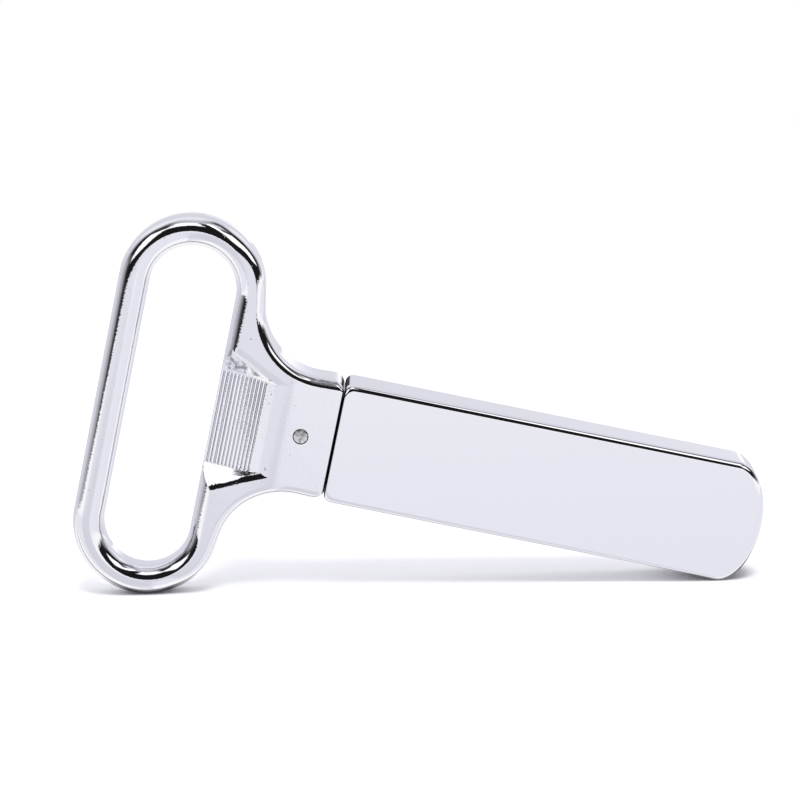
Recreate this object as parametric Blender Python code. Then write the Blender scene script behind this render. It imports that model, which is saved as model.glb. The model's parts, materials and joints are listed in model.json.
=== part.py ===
"""Two-prong cork puller, closed and standing on its thin edge.

A cast handle carries a long finger ring at one end and a short neck at the other.
Two spring-steel prongs hang on one cross pin in the neck's pocket, and a hollow
sheath slides over them until its mouth meets the neck.

Every piece is modelled in the tool's own frame: X runs from the ring's centre to the
sheath's tip, Z runs along the ring, and Y is the thickness. The frame is then tilted
so that the ring's lower end and the sheath's tip corner stand on the same floor.
"""
import math

import bmesh
import bpy
from mathutils import Vector

# Finger ring: a rounded bar bent to a long stadium.
RING_LENGTH = 0.0696
RING_WIDTH = 0.0263
BAR_WIDTH = 0.00535
RING_THICKNESS = 0.0078
RING_OUTER_FILLET = 0.0026
RING_INNER_FILLET = 0.0024
OPENING_SHIFT = 0.00012

# Prongs: two bent strips, hung by rolled eyes on the neck's pin.
PRONG_SPREAD = 0.0188
PRONG_WIDTH = 0.0086
PRONG_THICKNESS = 0.0010
PRONG_TIP_WIDTH = 0.0076
PRONG_TIP_THICKNESS = 0.0005
PRONG_TIP_LENGTH = 0.0060
PRONG_GRIND_LENGTH = 0.0240
LONG_PRONG_REACH = 0.0710
SHORT_PRONG_REACH = 0.0610
PRONG_BEND_RADIUS = 0.0025
EYE_CLEARANCE = 0.0002
EYE_GAP = 0.0004
EYE_TURN = math.radians(290)

# Neck: walls round the prongs' pocket, and the sweep that joins it to the ring.
NECK_REACH = 0.0300
NECK_SIDE_WALL = 0.00125
NECK_FACE_WALL = 0.00125
NECK_FILLET = 0.0018
NECK_CORNER_RADIUS = 0.0022
NECK_END_FLARE = math.radians(2)
SHOULDER_RADIUS = 0.01176
SHOULDER_FLARE = math.radians(9)
SHOULDER_RISE_START = 0.0060
SHOULDER_RISE_END = 0.0215
SHOULDER_FILLET_END = 0.0145
POCKET_SIDE_CLEARANCE = 0.00025
POCKET_FACE_CLEARANCE = 0.0003
POCKET_FLOOR_CLEARANCE = 0.00035

# Cross pin, flush with both broad faces of the neck.
PIN_RADIUS = 0.001375
PIN_SETBACK = 0.0059
PIN_CLEARANCE = 0.00015

# Thumb ramps, one cut into each broad face, with grooves along the ring.
RAMP_WIDTH = 0.0169
RAMP_SETBACK = 0.0090
RAMP_ANGLE = math.radians(18.5)
RAMP_BLEND_RADIUS = 0.0100
RAMP_FLARE_SHARE = 2.3
GROOVE_COUNT = 12
GROOVE_PITCH = 0.00069
GROOVE_WIDTH = 0.0006
GROOVE_DEPTH = 0.00024
GROOVE_START = 0.00068

# Sheath: a drawn shell, open at the mouth and closed by a shallow elliptical tip.
SHEATH_WALL = 0.0012
SHEATH_SIDE_CLEARANCE = 0.0004
SHEATH_FACE_CLEARANCE = 0.0006
SHEATH_SPARE = 0.00695
SHEATH_TIP_RISE = 0.0063
SHEATH_FILLET = 0.00122
SHEATH_CORNER_RADIUS = 0.0014
HOLLOW_FILLET = 0.0005
HOLLOW_CORNER_RADIUS = 0.0010
JOINT_GAP = 0.0003
JOINT_EDGE = 0.0003

# Shares and counts that only set how finely curves are drawn or how far fillets go.
FILLET_LIMIT_SHARE = 0.488
CUT_OVERRUN = 0.0020
ARC_STEPS = 30
OPENING_STEPS = 24
SWEEP_STEPS = 12
CORNER_STEPS = 6
TIP_STEPS = 28
FILLET_STEPS = 4
BLEND_STEPS = 6
RISE_STEPS = 6
PIN_STEPS = 36
EYE_STEPS = 24

# Sizes that follow from the ones above.
PRONG_HALF_SPREAD = PRONG_SPREAD / 2
POCKET_HALF_WIDTH = PRONG_HALF_SPREAD + POCKET_SIDE_CLEARANCE
POCKET_HALF_DEPTH = PRONG_WIDTH / 2 + POCKET_FACE_CLEARANCE
NECK_HALF_WIDTH = POCKET_HALF_WIDTH + NECK_SIDE_WALL
NECK_HALF_THICKNESS = POCKET_HALF_DEPTH + NECK_FACE_WALL
RING_RADIUS = RING_WIDTH / 2
RING_ARC_CENTRE = RING_LENGTH / 2 - RING_RADIUS
RING_HALF_THICKNESS = RING_THICKNESS / 2
OPENING_RADIUS = RING_RADIUS - BAR_WIDTH
PIN_PLACE = NECK_REACH - PIN_SETBACK
EYE_RADIUS = PIN_RADIUS + EYE_CLEARANCE + PRONG_THICKNESS
POCKET_FLOOR = PIN_PLACE - EYE_RADIUS - POCKET_FLOOR_CLEARANCE
SHEATH_MOUTH = NECK_REACH + JOINT_GAP
HOLLOW_HALF_WIDTH = PRONG_HALF_SPREAD + SHEATH_SIDE_CLEARANCE
HOLLOW_HALF_THICKNESS = PRONG_WIDTH / 2 + SHEATH_FACE_CLEARANCE
SHEATH_HALF_WIDTH = HOLLOW_HALF_WIDTH + SHEATH_WALL
SHEATH_HALF_THICKNESS = HOLLOW_HALF_THICKNESS + SHEATH_WALL
SHEATH_TIP = NECK_REACH + LONG_PRONG_REACH + SHEATH_SPARE
SHEATH_TIP_CENTRE = SHEATH_TIP - SHEATH_TIP_RISE
RAMP_START = NECK_REACH - RAMP_SETBACK
RAMP_BLEND_END = RAMP_START - RAMP_BLEND_RADIUS * math.sin(RAMP_ANGLE)


def arc(centre, radius_x, radius_z, start, end, steps):
    """Points along an ellipse's arc, both ends included."""
    points = []
    for step in range(steps + 1):
        angle = start + (end - start) * step / steps
        points.append((centre[0] + radius_x * math.cos(angle),
                       centre[1] + radius_z * math.sin(angle)))
    return points


def mirrored(points):
    """The same run of points below the tool's axis, in reverse order."""
    return [(x, -z) for x, z in reversed(points)]


def handle_outline():
    """Ring, flared shoulders, swept neck and its rounded end, anticlockwise."""
    reach = RING_RADIUS + SHOULDER_RADIUS
    sweep_z = NECK_HALF_WIDTH + SHOULDER_RADIUS
    drop = (sweep_z - RING_ARC_CENTRE) * math.sin(SHOULDER_FLARE)
    sweep_x = (reach - drop) / math.cos(SHOULDER_FLARE)
    corner_x = NECK_REACH - NECK_CORNER_RADIUS
    waist_end = sweep_x + SHOULDER_RADIUS * math.sin(NECK_END_FLARE)
    flare = (corner_x - waist_end) * math.tan(NECK_END_FLARE)
    waist_z = sweep_z - SHOULDER_RADIUS * math.cos(NECK_END_FLARE)
    corner_z = waist_z + flare - NECK_CORNER_RADIUS / math.cos(NECK_END_FLARE)
    quarter = math.pi / 2
    end_corner = arc((corner_x, corner_z), NECK_CORNER_RADIUS, NECK_CORNER_RADIUS,
                     0, quarter + NECK_END_FLARE, CORNER_STEPS)
    sweep = arc((sweep_x, sweep_z), SHOULDER_RADIUS, SHOULDER_RADIUS,
                -quarter + NECK_END_FLARE, -math.pi + SHOULDER_FLARE, SWEEP_STEPS)
    crown = arc((0, RING_ARC_CENTRE), RING_RADIUS, RING_RADIUS,
                SHOULDER_FLARE, math.pi, ARC_STEPS)
    upper = end_corner + sweep + crown
    return upper + mirrored(upper)


def opening_outline():
    """Stadium-shaped finger opening, anticlockwise."""
    crown = arc((OPENING_SHIFT, RING_ARC_CENTRE), OPENING_RADIUS, OPENING_RADIUS,
                0, math.pi, OPENING_STEPS)
    return crown + mirrored(crown)


def sheath_outline(mouth, inset, corner_radius):
    """Sheath in plan, anticlockwise: rounded mouth corners and a half-ellipse tip."""
    half_width = SHEATH_HALF_WIDTH - inset
    tip = arc((SHEATH_TIP_CENTRE, 0), SHEATH_TIP_RISE - inset, half_width,
              0, math.pi / 2, TIP_STEPS // 2)
    corner = arc((mouth + corner_radius, half_width - corner_radius), corner_radius,
                 corner_radius, math.pi / 2, math.pi, CORNER_STEPS)
    upper = tip + corner
    return upper + mirrored(upper)[:-1]


def outward_normals(outline):
    """Unit normals of a closed anticlockwise outline, averaged at each point."""
    normals = []
    count = len(outline)
    for index in range(count):
        before = Vector(outline[index - 1])
        here = Vector(outline[index])
        after = Vector(outline[(index + 1) % count])
        edges = (here - before).normalized() + (after - here).normalized()
        normals.append(Vector((edges.y, -edges.x)).normalized())
    return normals


def fillet_loops(mesh, outline, radii, half_thickness, inward):
    """Vertex loops that round both edges of one outline, front face to back face."""
    normals = outward_normals(outline)
    loops = []
    for side in (-1, 1):
        steps = range(FILLET_STEPS + 1)
        for step in steps if side < 0 else reversed(steps):
            turn = math.pi / 2 * step / FILLET_STEPS
            loop = []
            for (x, z), normal, radius in zip(outline, normals, radii):
                inset = inward * radius * (1 - math.sin(turn))
                y = side * (half_thickness - radius * (1 - math.cos(turn)))
                loop.append(mesh.verts.new((x - normal.x * inset, y, z - normal.y * inset)))
            loops.append(loop)
    return loops


def join_loops(mesh, loops):
    """Quads between each loop and the next."""
    for first, second in zip(loops, loops[1:]):
        count = len(first)
        for index in range(count):
            following = (index + 1) % count
            mesh.faces.new((first[index], first[following],
                            second[following], second[index]))


def rim_edges(mesh, loop):
    """The edges round one loop of vertices."""
    count = len(loop)
    return [mesh.edges.get((loop[index], loop[(index + 1) % count]))
            for index in range(count)]


def rounded_plate(boundaries, half_thickness):
    """A flat plate with rounded edges round its outline and round any opening.

    Each boundary is an outline, its fillet radius at each point, and the side its
    fillet falls to: 1 for an outer edge, -1 for an opening.
    """
    mesh = bmesh.new()
    front, back = [], []
    for outline, radii, inward in boundaries:
        loops = fillet_loops(mesh, outline, radii, half_thickness, inward)
        join_loops(mesh, loops)
        front += rim_edges(mesh, loops[0])
        back += rim_edges(mesh, loops[-1])
    for rim in (front, back):
        bmesh.ops.triangle_fill(mesh, use_beauty=True, use_dissolve=False, edges=rim)
    bmesh.ops.recalc_face_normals(mesh, faces=mesh.faces[:])
    return mesh


def ease(value):
    """Smooth step from 0 to 1."""
    value = min(max(value, 0), 1)
    return value * value * (3 - 2 * value)


def raise_neck(mesh):
    """Thicken the plate from the ring's thickness to the neck's, over the shoulders."""
    length = SHOULDER_RISE_END - SHOULDER_RISE_START
    for step in range(RISE_STEPS + 1):
        place = SHOULDER_RISE_START + length * step / RISE_STEPS
        geometry = mesh.verts[:] + mesh.edges[:] + mesh.faces[:]
        bmesh.ops.bisect_plane(mesh, geom=geometry, plane_co=(place, 0, 0),
                               plane_no=(1, 0, 0))
    for vertex in mesh.verts:
        share = ease((vertex.co.x - SHOULDER_RISE_START) / length)
        rise = (NECK_HALF_THICKNESS - RING_HALF_THICKNESS) * share
        vertex.co.y += math.copysign(rise, vertex.co.y)


def new_object(name, mesh, material, parent, location=(0, 0, 0)):
    """An object from a bmesh, shaded smooth between its sharp edges."""
    data = bpy.data.meshes.new(name)
    mesh.to_mesh(data)
    mesh.free()
    data.shade_smooth()
    data.set_sharp_from_angle(angle=math.radians(35))
    data.materials.append(material)
    item = bpy.data.objects.new(name, data)
    item.location = location
    item.parent = parent
    bpy.context.scene.collection.objects.link(item)
    return item


def new_material(name, colour, roughness, metallic):
    """A Principled material."""
    material = bpy.data.materials.new(name)
    material.use_nodes = True
    shader = material.node_tree.nodes["Principled BSDF"]
    shader.inputs["Base Color"].default_value = (*colour, 1)
    shader.inputs["Roughness"].default_value = roughness
    shader.inputs["Metallic"].default_value = metallic
    return material


def cut(item, name, mesh, parent, location=(0, 0, 0)):
    """Cut a hidden guide solid out of an object."""
    data = bpy.data.meshes.new(name)
    bmesh.ops.recalc_face_normals(mesh, faces=mesh.faces[:])
    mesh.to_mesh(data)
    mesh.free()
    cutter = bpy.data.objects.new(name, data)
    cutter.location = location
    cutter.parent = parent
    cutter.hide_render = True
    cutter.display_type = "WIRE"
    bpy.context.scene.collection.objects.link(cutter)
    modifier = item.modifiers.new(name, "BOOLEAN")
    modifier.operation = "DIFFERENCE"
    modifier.solver = "EXACT"
    modifier.object = cutter
    return cutter


def prism(mesh, section, half_width):
    """A section in the X-Y plane, extruded both ways along Z."""
    near = [mesh.verts.new((x, y, -half_width)) for x, y in section]
    far = [mesh.verts.new((x, y, half_width)) for x, y in section]
    mesh.faces.new(near)
    mesh.faces.new(list(reversed(far)))
    count = len(section)
    for index in range(count):
        following = (index + 1) % count
        mesh.faces.new((near[index], far[index], far[following], near[following]))


def ramp_height(x):
    """Height of the thumb ramp over the tool's mid-plane, at a place along the axis."""
    if x >= RAMP_BLEND_END:
        run = RAMP_START - x
        drop = RAMP_BLEND_RADIUS - math.sqrt(RAMP_BLEND_RADIUS ** 2 - run ** 2)
        return NECK_HALF_THICKNESS - drop
    blend_drop = RAMP_BLEND_RADIUS * (1 - math.cos(RAMP_ANGLE))
    slope_drop = (RAMP_BLEND_END - x) * math.tan(RAMP_ANGLE)
    return NECK_HALF_THICKNESS - blend_drop - slope_drop


def ramp_cutter():
    """The space over both thumb ramps: a sloping floor between two flared sides."""
    mesh = bmesh.new()
    low_end = OPENING_RADIUS - CUT_OVERRUN
    places = [low_end]
    for step in range(BLEND_STEPS):
        places.append(RAMP_BLEND_END + (RAMP_START - RAMP_BLEND_END) * step / BLEND_STEPS)
    top = NECK_HALF_THICKNESS + CUT_OVERRUN
    for side in (-1, 1):
        rows = []
        for x in places:
            floor = ramp_height(x)
            half = RAMP_WIDTH / 2
            flared = half + (top - floor) * RAMP_FLARE_SHARE
            rows.append([mesh.verts.new((x, side * floor, -half)),
                         mesh.verts.new((x, side * floor, half)),
                         mesh.verts.new((x, side * top, flared)),
                         mesh.verts.new((x, side * top, -flared))])
        mesh.faces.new(rows[0])
        mesh.faces.new(list(reversed(rows[-1])))
        join_loops(mesh, rows)
    return mesh


def groove_cutter():
    """V-grooves across both thumb ramps, square to the slope."""
    mesh = bmesh.new()
    slope = Vector((math.cos(RAMP_ANGLE), math.sin(RAMP_ANGLE)))
    upright = Vector((-math.sin(RAMP_ANGLE), math.cos(RAMP_ANGLE)))
    lift_share = GROOVE_PITCH / GROOVE_WIDTH - 1
    half = GROOVE_WIDTH / 2 * (1 + lift_share / 2)
    for side in (-1, 1):
        for number in range(GROOVE_COUNT):
            x = OPENING_RADIUS + GROOVE_START + number * GROOVE_PITCH
            centre = Vector((x, ramp_height(x)))
            root = centre - upright * GROOVE_DEPTH
            lifted = centre + upright * GROOVE_DEPTH * lift_share / 2
            section = [root, lifted + slope * half, lifted - slope * half]
            prism(mesh, [(point.x, side * point.y) for point in section], RAMP_WIDTH / 2)
    return mesh


def pocket_cutter():
    """The pocket in the neck's end face that holds the prongs' roots."""
    mesh = bmesh.new()
    end = NECK_REACH + CUT_OVERRUN
    section = [(POCKET_FLOOR, -POCKET_HALF_DEPTH), (end, -POCKET_HALF_DEPTH),
               (end, POCKET_HALF_DEPTH), (POCKET_FLOOR, POCKET_HALF_DEPTH)]
    prism(mesh, section, POCKET_HALF_WIDTH)
    return mesh


def cross_cylinder(radius, half_length):
    """A round bar along the tool's thickness."""
    mesh = bmesh.new()
    section = arc((0, 0), radius, radius, 0, 2 * math.pi, PIN_STEPS)[:-1]
    near = [mesh.verts.new((x, -half_length, z)) for x, z in section]
    far = [mesh.verts.new((x, half_length, z)) for x, z in section]
    join_loops(mesh, [near, far])
    mesh.faces.new(near)
    mesh.faces.new(list(reversed(far)))
    bmesh.ops.recalc_face_normals(mesh, faces=mesh.faces[:])
    return mesh


def handle_fillets(outline):
    """Fillet radius at each point: the bar's, the neck's, and fine at the end face."""
    limit = FILLET_LIMIT_SHARE * min(BAR_WIDTH, RING_THICKNESS)
    bar = min(RING_OUTER_FILLET, limit)
    length = SHOULDER_FILLET_END - SHOULDER_RISE_START
    radii = []
    for (x, _), normal in zip(outline, outward_normals(outline)):
        share = ease((x - SHOULDER_RISE_START) / length)
        radius = bar + (NECK_FILLET - bar) * share
        if x > SHOULDER_RISE_END:
            radius = JOINT_EDGE + (NECK_FILLET - JOINT_EDGE) * ease(abs(normal.y))
        radii.append(radius)
    return radii


def make_handle(material, parent):
    """The cast handle: ring, shoulders, neck, thumb ramps, pocket and pin hole."""
    outline = handle_outline()
    opening = opening_outline()
    limit = FILLET_LIMIT_SHARE * min(BAR_WIDTH, RING_THICKNESS)
    inner = [min(RING_INNER_FILLET, limit)] * len(opening)
    plate = rounded_plate([(outline, handle_fillets(outline), 1), (opening, inner, -1)],
                          RING_HALF_THICKNESS)
    raise_neck(plate)
    handle = new_object("handle", plate, material, parent)
    cut(handle, "ramp_space", ramp_cutter(), parent)
    cut(handle, "grooves", groove_cutter(), parent)
    cut(handle, "pocket", pocket_cutter(), parent)
    hole = cross_cylinder(PIN_RADIUS + PIN_CLEARANCE, NECK_HALF_THICKNESS + CUT_OVERRUN)
    cut(handle, "pin_hole", hole, parent, (PIN_PLACE, 0, 0))
    return handle


def prong_stations(reach):
    """Stations along one strip, from its tip to the end of its eye, about the pin.

    Each is a point on the strip's outer face, the direction through its thickness,
    its thickness there, and its two edges across the tool.
    """
    root_half = PRONG_WIDTH / 2
    tip_half = PRONG_TIP_WIDTH / 2
    tip = PIN_SETBACK + reach
    bend_x = PRONG_BEND_RADIUS - EYE_RADIUS
    bend_z = PRONG_HALF_SPREAD - PRONG_BEND_RADIUS
    inward = Vector((0, -1))
    stations = []

    def thickness_at(x):
        share = ease((tip - x) / PRONG_GRIND_LENGTH)
        return PRONG_TIP_THICKNESS + (PRONG_THICKNESS - PRONG_TIP_THICKNESS) * share

    def add(point, direction, thickness, low, high):
        stations.append((Vector(point), direction, thickness, low, high))

    for step in range(1, CORNER_STEPS + 1):
        turn = math.pi / 2 * step / CORNER_STEPS
        x = tip - PRONG_TIP_LENGTH * (1 - math.cos(turn))
        half = tip_half * math.sin(turn)
        add((x, PRONG_HALF_SPREAD), inward, thickness_at(x), -half, half)
    for step in range(1, CORNER_STEPS + 1):
        x = tip - PRONG_TIP_LENGTH - PRONG_GRIND_LENGTH * step / CORNER_STEPS
        share = (tip - PRONG_TIP_LENGTH - x) / (tip - PRONG_TIP_LENGTH - bend_x)
        half = tip_half + (root_half - tip_half) * share
        add((x, PRONG_HALF_SPREAD), inward, thickness_at(x), -half, half)
    for step in range(CORNER_STEPS + 1):
        turn = math.pi / 2 * (1 + step / CORNER_STEPS)
        outward = Vector((math.cos(turn), math.sin(turn)))
        centre = Vector((bend_x, bend_z))
        add(centre + outward * PRONG_BEND_RADIUS, -outward, PRONG_THICKNESS,
            -root_half, root_half)
    shoulder = EYE_RADIUS + EYE_GAP
    foot = Vector((1, 0))
    add((-EYE_RADIUS, shoulder + EYE_GAP), foot, PRONG_THICKNESS, -root_half, root_half)
    add((-EYE_RADIUS, shoulder), foot, PRONG_THICKNESS, EYE_GAP / 2, root_half)
    for step in range(EYE_STEPS + 1):
        turn = math.pi + EYE_TURN * step / EYE_STEPS
        outward = Vector((math.cos(turn), math.sin(turn)))
        add(outward * EYE_RADIUS, -outward, PRONG_THICKNESS, EYE_GAP / 2, root_half)
    return stations


def make_prong(name, reach, side, material, parent):
    """One strip, ground thin at its rounded tip; side 1 is above the tool's axis."""
    mesh = bmesh.new()
    loops = []
    for point, direction, thickness, low, high in prong_stations(reach):
        inner = point + direction * thickness
        corners = [(point, low), (point, high), (inner, high), (inner, low)]
        loops.append([mesh.verts.new((place.x, side * y, side * place.y))
                      for place, y in corners])
    join_loops(mesh, loops)
    mesh.faces.new(loops[0])
    mesh.faces.new(list(reversed(loops[-1])))
    bmesh.ops.recalc_face_normals(mesh, faces=mesh.faces[:])
    return new_object(name, mesh, material, parent, (PIN_PLACE, 0, 0))


def make_pin(material, parent):
    """The cross pin through the neck and both eyes."""
    mesh = cross_cylinder(PIN_RADIUS, NECK_HALF_THICKNESS)
    return new_object("neck_pin", mesh, material, parent, (PIN_PLACE, 0, 0))


def make_sheath(material, parent):
    """The hollow sheath, its edges rounded along the sides and fine at the mouth."""
    outline = sheath_outline(SHEATH_MOUTH, 0, SHEATH_CORNER_RADIUS)
    radii = []
    for (x, _), normal in zip(outline, outward_normals(outline)):
        radius = SHEATH_FILLET
        if x < SHEATH_TIP_CENTRE:
            radius = JOINT_EDGE + (SHEATH_FILLET - JOINT_EDGE) * ease(abs(normal.y))
        radii.append(radius)
    sheath = new_object("sheath", rounded_plate([(outline, radii, 1)],
                        SHEATH_HALF_THICKNESS), material, parent)
    hollow = sheath_outline(SHEATH_MOUTH - CUT_OVERRUN, SHEATH_WALL, HOLLOW_CORNER_RADIUS)
    cavity = rounded_plate([(hollow, [HOLLOW_FILLET] * len(hollow), 1)],
                           HOLLOW_HALF_THICKNESS)
    cut(sheath, "hollow", cavity, parent)
    return sheath


def tip_reach(tilt):
    """How far the tilted sheath's tip hangs below the ring's centre."""
    swell = math.hypot(SHEATH_TIP_RISE * math.sin(tilt), SHEATH_HALF_WIDTH * math.cos(tilt))
    return SHEATH_TIP_CENTRE * math.sin(tilt) + swell


def ring_reach(tilt):
    """How far the tilted ring's lower end hangs below its centre."""
    return RING_ARC_CENTRE * math.cos(tilt) + RING_RADIUS


def resting_tilt():
    """The tilt at which the ring and the sheath's tip stand on one floor."""
    low, high = 0.0, math.pi / 4
    halvings = 60
    for _ in range(halvings):
        middle = (low + high) / 2
        if tip_reach(middle) < ring_reach(middle):
            low = middle
        else:
            high = middle
    return (low + high) / 2


def make_frame():
    """The empty that tilts the tool to its rest and centres it over the origin."""
    tilt = resting_tilt()
    left = RING_ARC_CENTRE * math.sin(tilt) + RING_RADIUS
    right = SHEATH_TIP_CENTRE * math.cos(tilt)
    right += math.hypot(SHEATH_TIP_RISE * math.cos(tilt), SHEATH_HALF_WIDTH * math.sin(tilt))
    frame = bpy.data.objects.new("tool_frame", None)
    frame.location = ((left - right) / 2, 0, ring_reach(tilt))
    frame.rotation_euler = (0, tilt, 0)
    bpy.context.scene.collection.objects.link(frame)
    return frame


for item in list(bpy.data.objects):
    bpy.data.objects.remove(item, do_unlink=True)

chrome = new_material("polished_chrome", (0.83, 0.83, 0.86), 0.06, 1.0)
spring_steel = new_material("spring_steel", (0.62, 0.62, 0.63), 0.28, 1.0)
pin_steel = new_material("pin_steel", (0.42, 0.42, 0.41), 0.45, 1.0)

tool_frame = make_frame()
make_handle(chrome, tool_frame)
make_pin(pin_steel, tool_frame)
make_prong("long_prong", LONG_PRONG_REACH, 1, spring_steel, tool_frame)
make_prong("short_prong", SHORT_PRONG_REACH, -1, spring_steel, tool_frame)
make_sheath(chrome, tool_frame)
bpy.context.view_layer.update()
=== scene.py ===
import json
import math

import bmesh
import bpy
import numpy as np
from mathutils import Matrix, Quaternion, Vector

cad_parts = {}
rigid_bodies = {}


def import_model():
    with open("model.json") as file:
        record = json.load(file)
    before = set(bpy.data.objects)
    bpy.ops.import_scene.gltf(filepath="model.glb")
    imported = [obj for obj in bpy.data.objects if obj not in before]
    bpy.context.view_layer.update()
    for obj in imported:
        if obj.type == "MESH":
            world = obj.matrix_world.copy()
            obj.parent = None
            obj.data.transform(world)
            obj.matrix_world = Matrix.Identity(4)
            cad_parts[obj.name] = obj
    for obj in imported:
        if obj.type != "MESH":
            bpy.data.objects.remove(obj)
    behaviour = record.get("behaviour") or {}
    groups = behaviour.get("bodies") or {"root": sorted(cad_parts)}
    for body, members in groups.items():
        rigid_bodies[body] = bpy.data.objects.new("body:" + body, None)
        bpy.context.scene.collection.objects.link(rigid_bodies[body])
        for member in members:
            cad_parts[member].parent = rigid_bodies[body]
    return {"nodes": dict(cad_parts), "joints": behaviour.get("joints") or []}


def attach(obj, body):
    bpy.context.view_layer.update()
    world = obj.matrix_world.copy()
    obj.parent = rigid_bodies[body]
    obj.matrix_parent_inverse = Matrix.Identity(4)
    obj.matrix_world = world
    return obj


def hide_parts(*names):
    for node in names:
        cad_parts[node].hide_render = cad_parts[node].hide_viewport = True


for item in list(bpy.data.objects):
    bpy.data.objects.remove(item, do_unlink=True)
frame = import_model()
bpy.context.view_layer.update()


# Handle
# The finger ring, shoulders and neck are one zinc die casting, polished and chrome
# plated. A thumb ramp with twelve serrations is cut into each broad face, between two
# flared facets. The neck's end face holds the pocket for the prongs' roots.

joints = {joint["name"]: joint for joint in frame["joints"]}
along = -np.array(joints["unsheathe"]["axis"])
through = np.array([0.0, 1.0, 0.0])
across = np.array([-along[2], 0.0, along[0]])
pin_place, pin_hole_radius = 24.1, 1.41
ring_centre = np.array(joints["long_prong_flex"]["pos_m"]) - along * pin_place / 1000

ring_half_length, ring_radius = 34.787, 13.15
arc_centre = ring_half_length - ring_radius
opening_radius, opening_shift, opening_swell = 7.8, 0.12, 0.17
ring_half_thickness, neck_half_thickness = 3.9, 5.85
thickness_rise_start, thickness_rise_run = 6.0, 15.5
ring_fillet, crown_swell, opening_fillet, neck_fillet, end_edge = 2.62, 0.16, 2.5, 1.65, 0.3
fillet_change_start, fillet_change_run = 7.0, 5.0
neck_reach, neck_half_width, neck_corner, face_corner = 30.12, 10.815, 2.2, 0.45
width_shift, shift_start, shift_run = 0.085, 8.0, 8.0
sweep_radius, shoulder_flare, neck_flare = 11.76, math.radians(9), math.radians(2)
pocket_floor, pocket_half_width, pocket_half_depth = 21.175, 9.65, 4.6
rim_share, side_share, floor_share = 0.16, 0.17, 0.8
ramp_start, ramp_angle, ramp_blend = 21.0, math.radians(18.5), 10.0
facet_foot, facet_head, facet_flare = 8.3, 9.06, 0.505
facet_round, round_start, round_run = 0.04, 8.8, 0.9
facet_end, bevel_run, bevel_fall, step_run, step_fall = 18.1, 1.1, 0.115, 0.3, 0.5
bow_middle, bow_reach, facet_bow = 13.4, 2.5, 0.09
first_groove, groove_pitch, groove_depth, groove_count = 8.47, 0.692, 0.24, 12
ridge_power, no_cut = 0.9, 99.0
plain_rows_end, foot_rows_start, fan_start = 7.4, 7.5, 8.33

opening_left, opening_right = opening_shift - opening_radius, opening_shift + opening_radius
sweep_w = neck_half_width + sweep_radius
sweep_drop = (sweep_w - arc_centre) * math.sin(shoulder_flare)
sweep_u = (ring_radius + sweep_radius - sweep_drop) / math.cos(shoulder_flare)
side_u = sweep_u + sweep_radius * math.sin(neck_flare)
side_w = sweep_w - sweep_radius * math.cos(neck_flare)
corner_u = neck_reach - neck_corner
corner_w = (side_w + (corner_u - side_u) * math.tan(neck_flare)
            - neck_corner / math.cos(neck_flare))


def set_in_tool(u, y, w):
    """Places in metres: the ring's centre plus u along the tool's axis, y through its
    thickness and w along the ring, all three in millimetres."""
    u, y, w = np.broadcast_arrays(u, y, w)
    return ring_centre + (u[..., None] * along + y[..., None] * through
                          + w[..., None] * across) / 1000


def ease(value):
    """The smooth step from 0 to 1: three squares less two cubes."""
    value = np.clip(value, 0, 1)
    return value * value * (3 - 2 * value)


def skin(name, grid, material, close_lines=True):
    """A surface of four-sided faces over a grid of places, rows by lines by three. The
    last row meets the first, and so do the lines where they close."""
    rows, lines = grid.shape[:2]
    here = np.arange(rows * lines).reshape(rows, lines)
    here = np.vstack([here, here[:1]])
    if close_lines:
        here = np.hstack([here, here[:, :1]])
    corners = [here[:-1, :-1], here[1:, :-1], here[1:, 1:], here[:-1, 1:]]
    faces = np.stack(corners, axis=-1).reshape(-1, 4)
    mesh = bpy.data.meshes.new(name)
    mesh.from_pydata(grid.reshape(-1, 3).tolist(), [], faces.tolist())
    mesh.update()
    mesh.validate()
    mesh.materials.append(material)
    mesh.shade_smooth()
    piece = bpy.data.objects.new(name, mesh)
    bpy.context.scene.collection.objects.link(piece)
    return piece


def plate_height(u):
    """Half the casting's thickness: the ring's, then an eased rise over the shoulders
    to the neck's."""
    rise = neck_half_thickness - ring_half_thickness
    return ring_half_thickness + rise * ease((u - thickness_rise_start) / thickness_rise_run)


def ramp_floor(u):
    """The thumb ramp's height: a straight slope, then an arc that meets the neck's
    face level, and a rise past it that no longer cuts."""
    blend_end = ramp_start - ramp_blend * math.sin(ramp_angle)
    run = np.clip(ramp_start - u, 0, ramp_start - blend_end)
    arc_drop = ramp_blend - np.sqrt(ramp_blend ** 2 - run ** 2)
    slope_drop = np.clip(blend_end - u, 0, None) * math.tan(ramp_angle)
    return neck_half_thickness - arc_drop - slope_drop + np.clip(u - ramp_start, 0, None)


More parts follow.
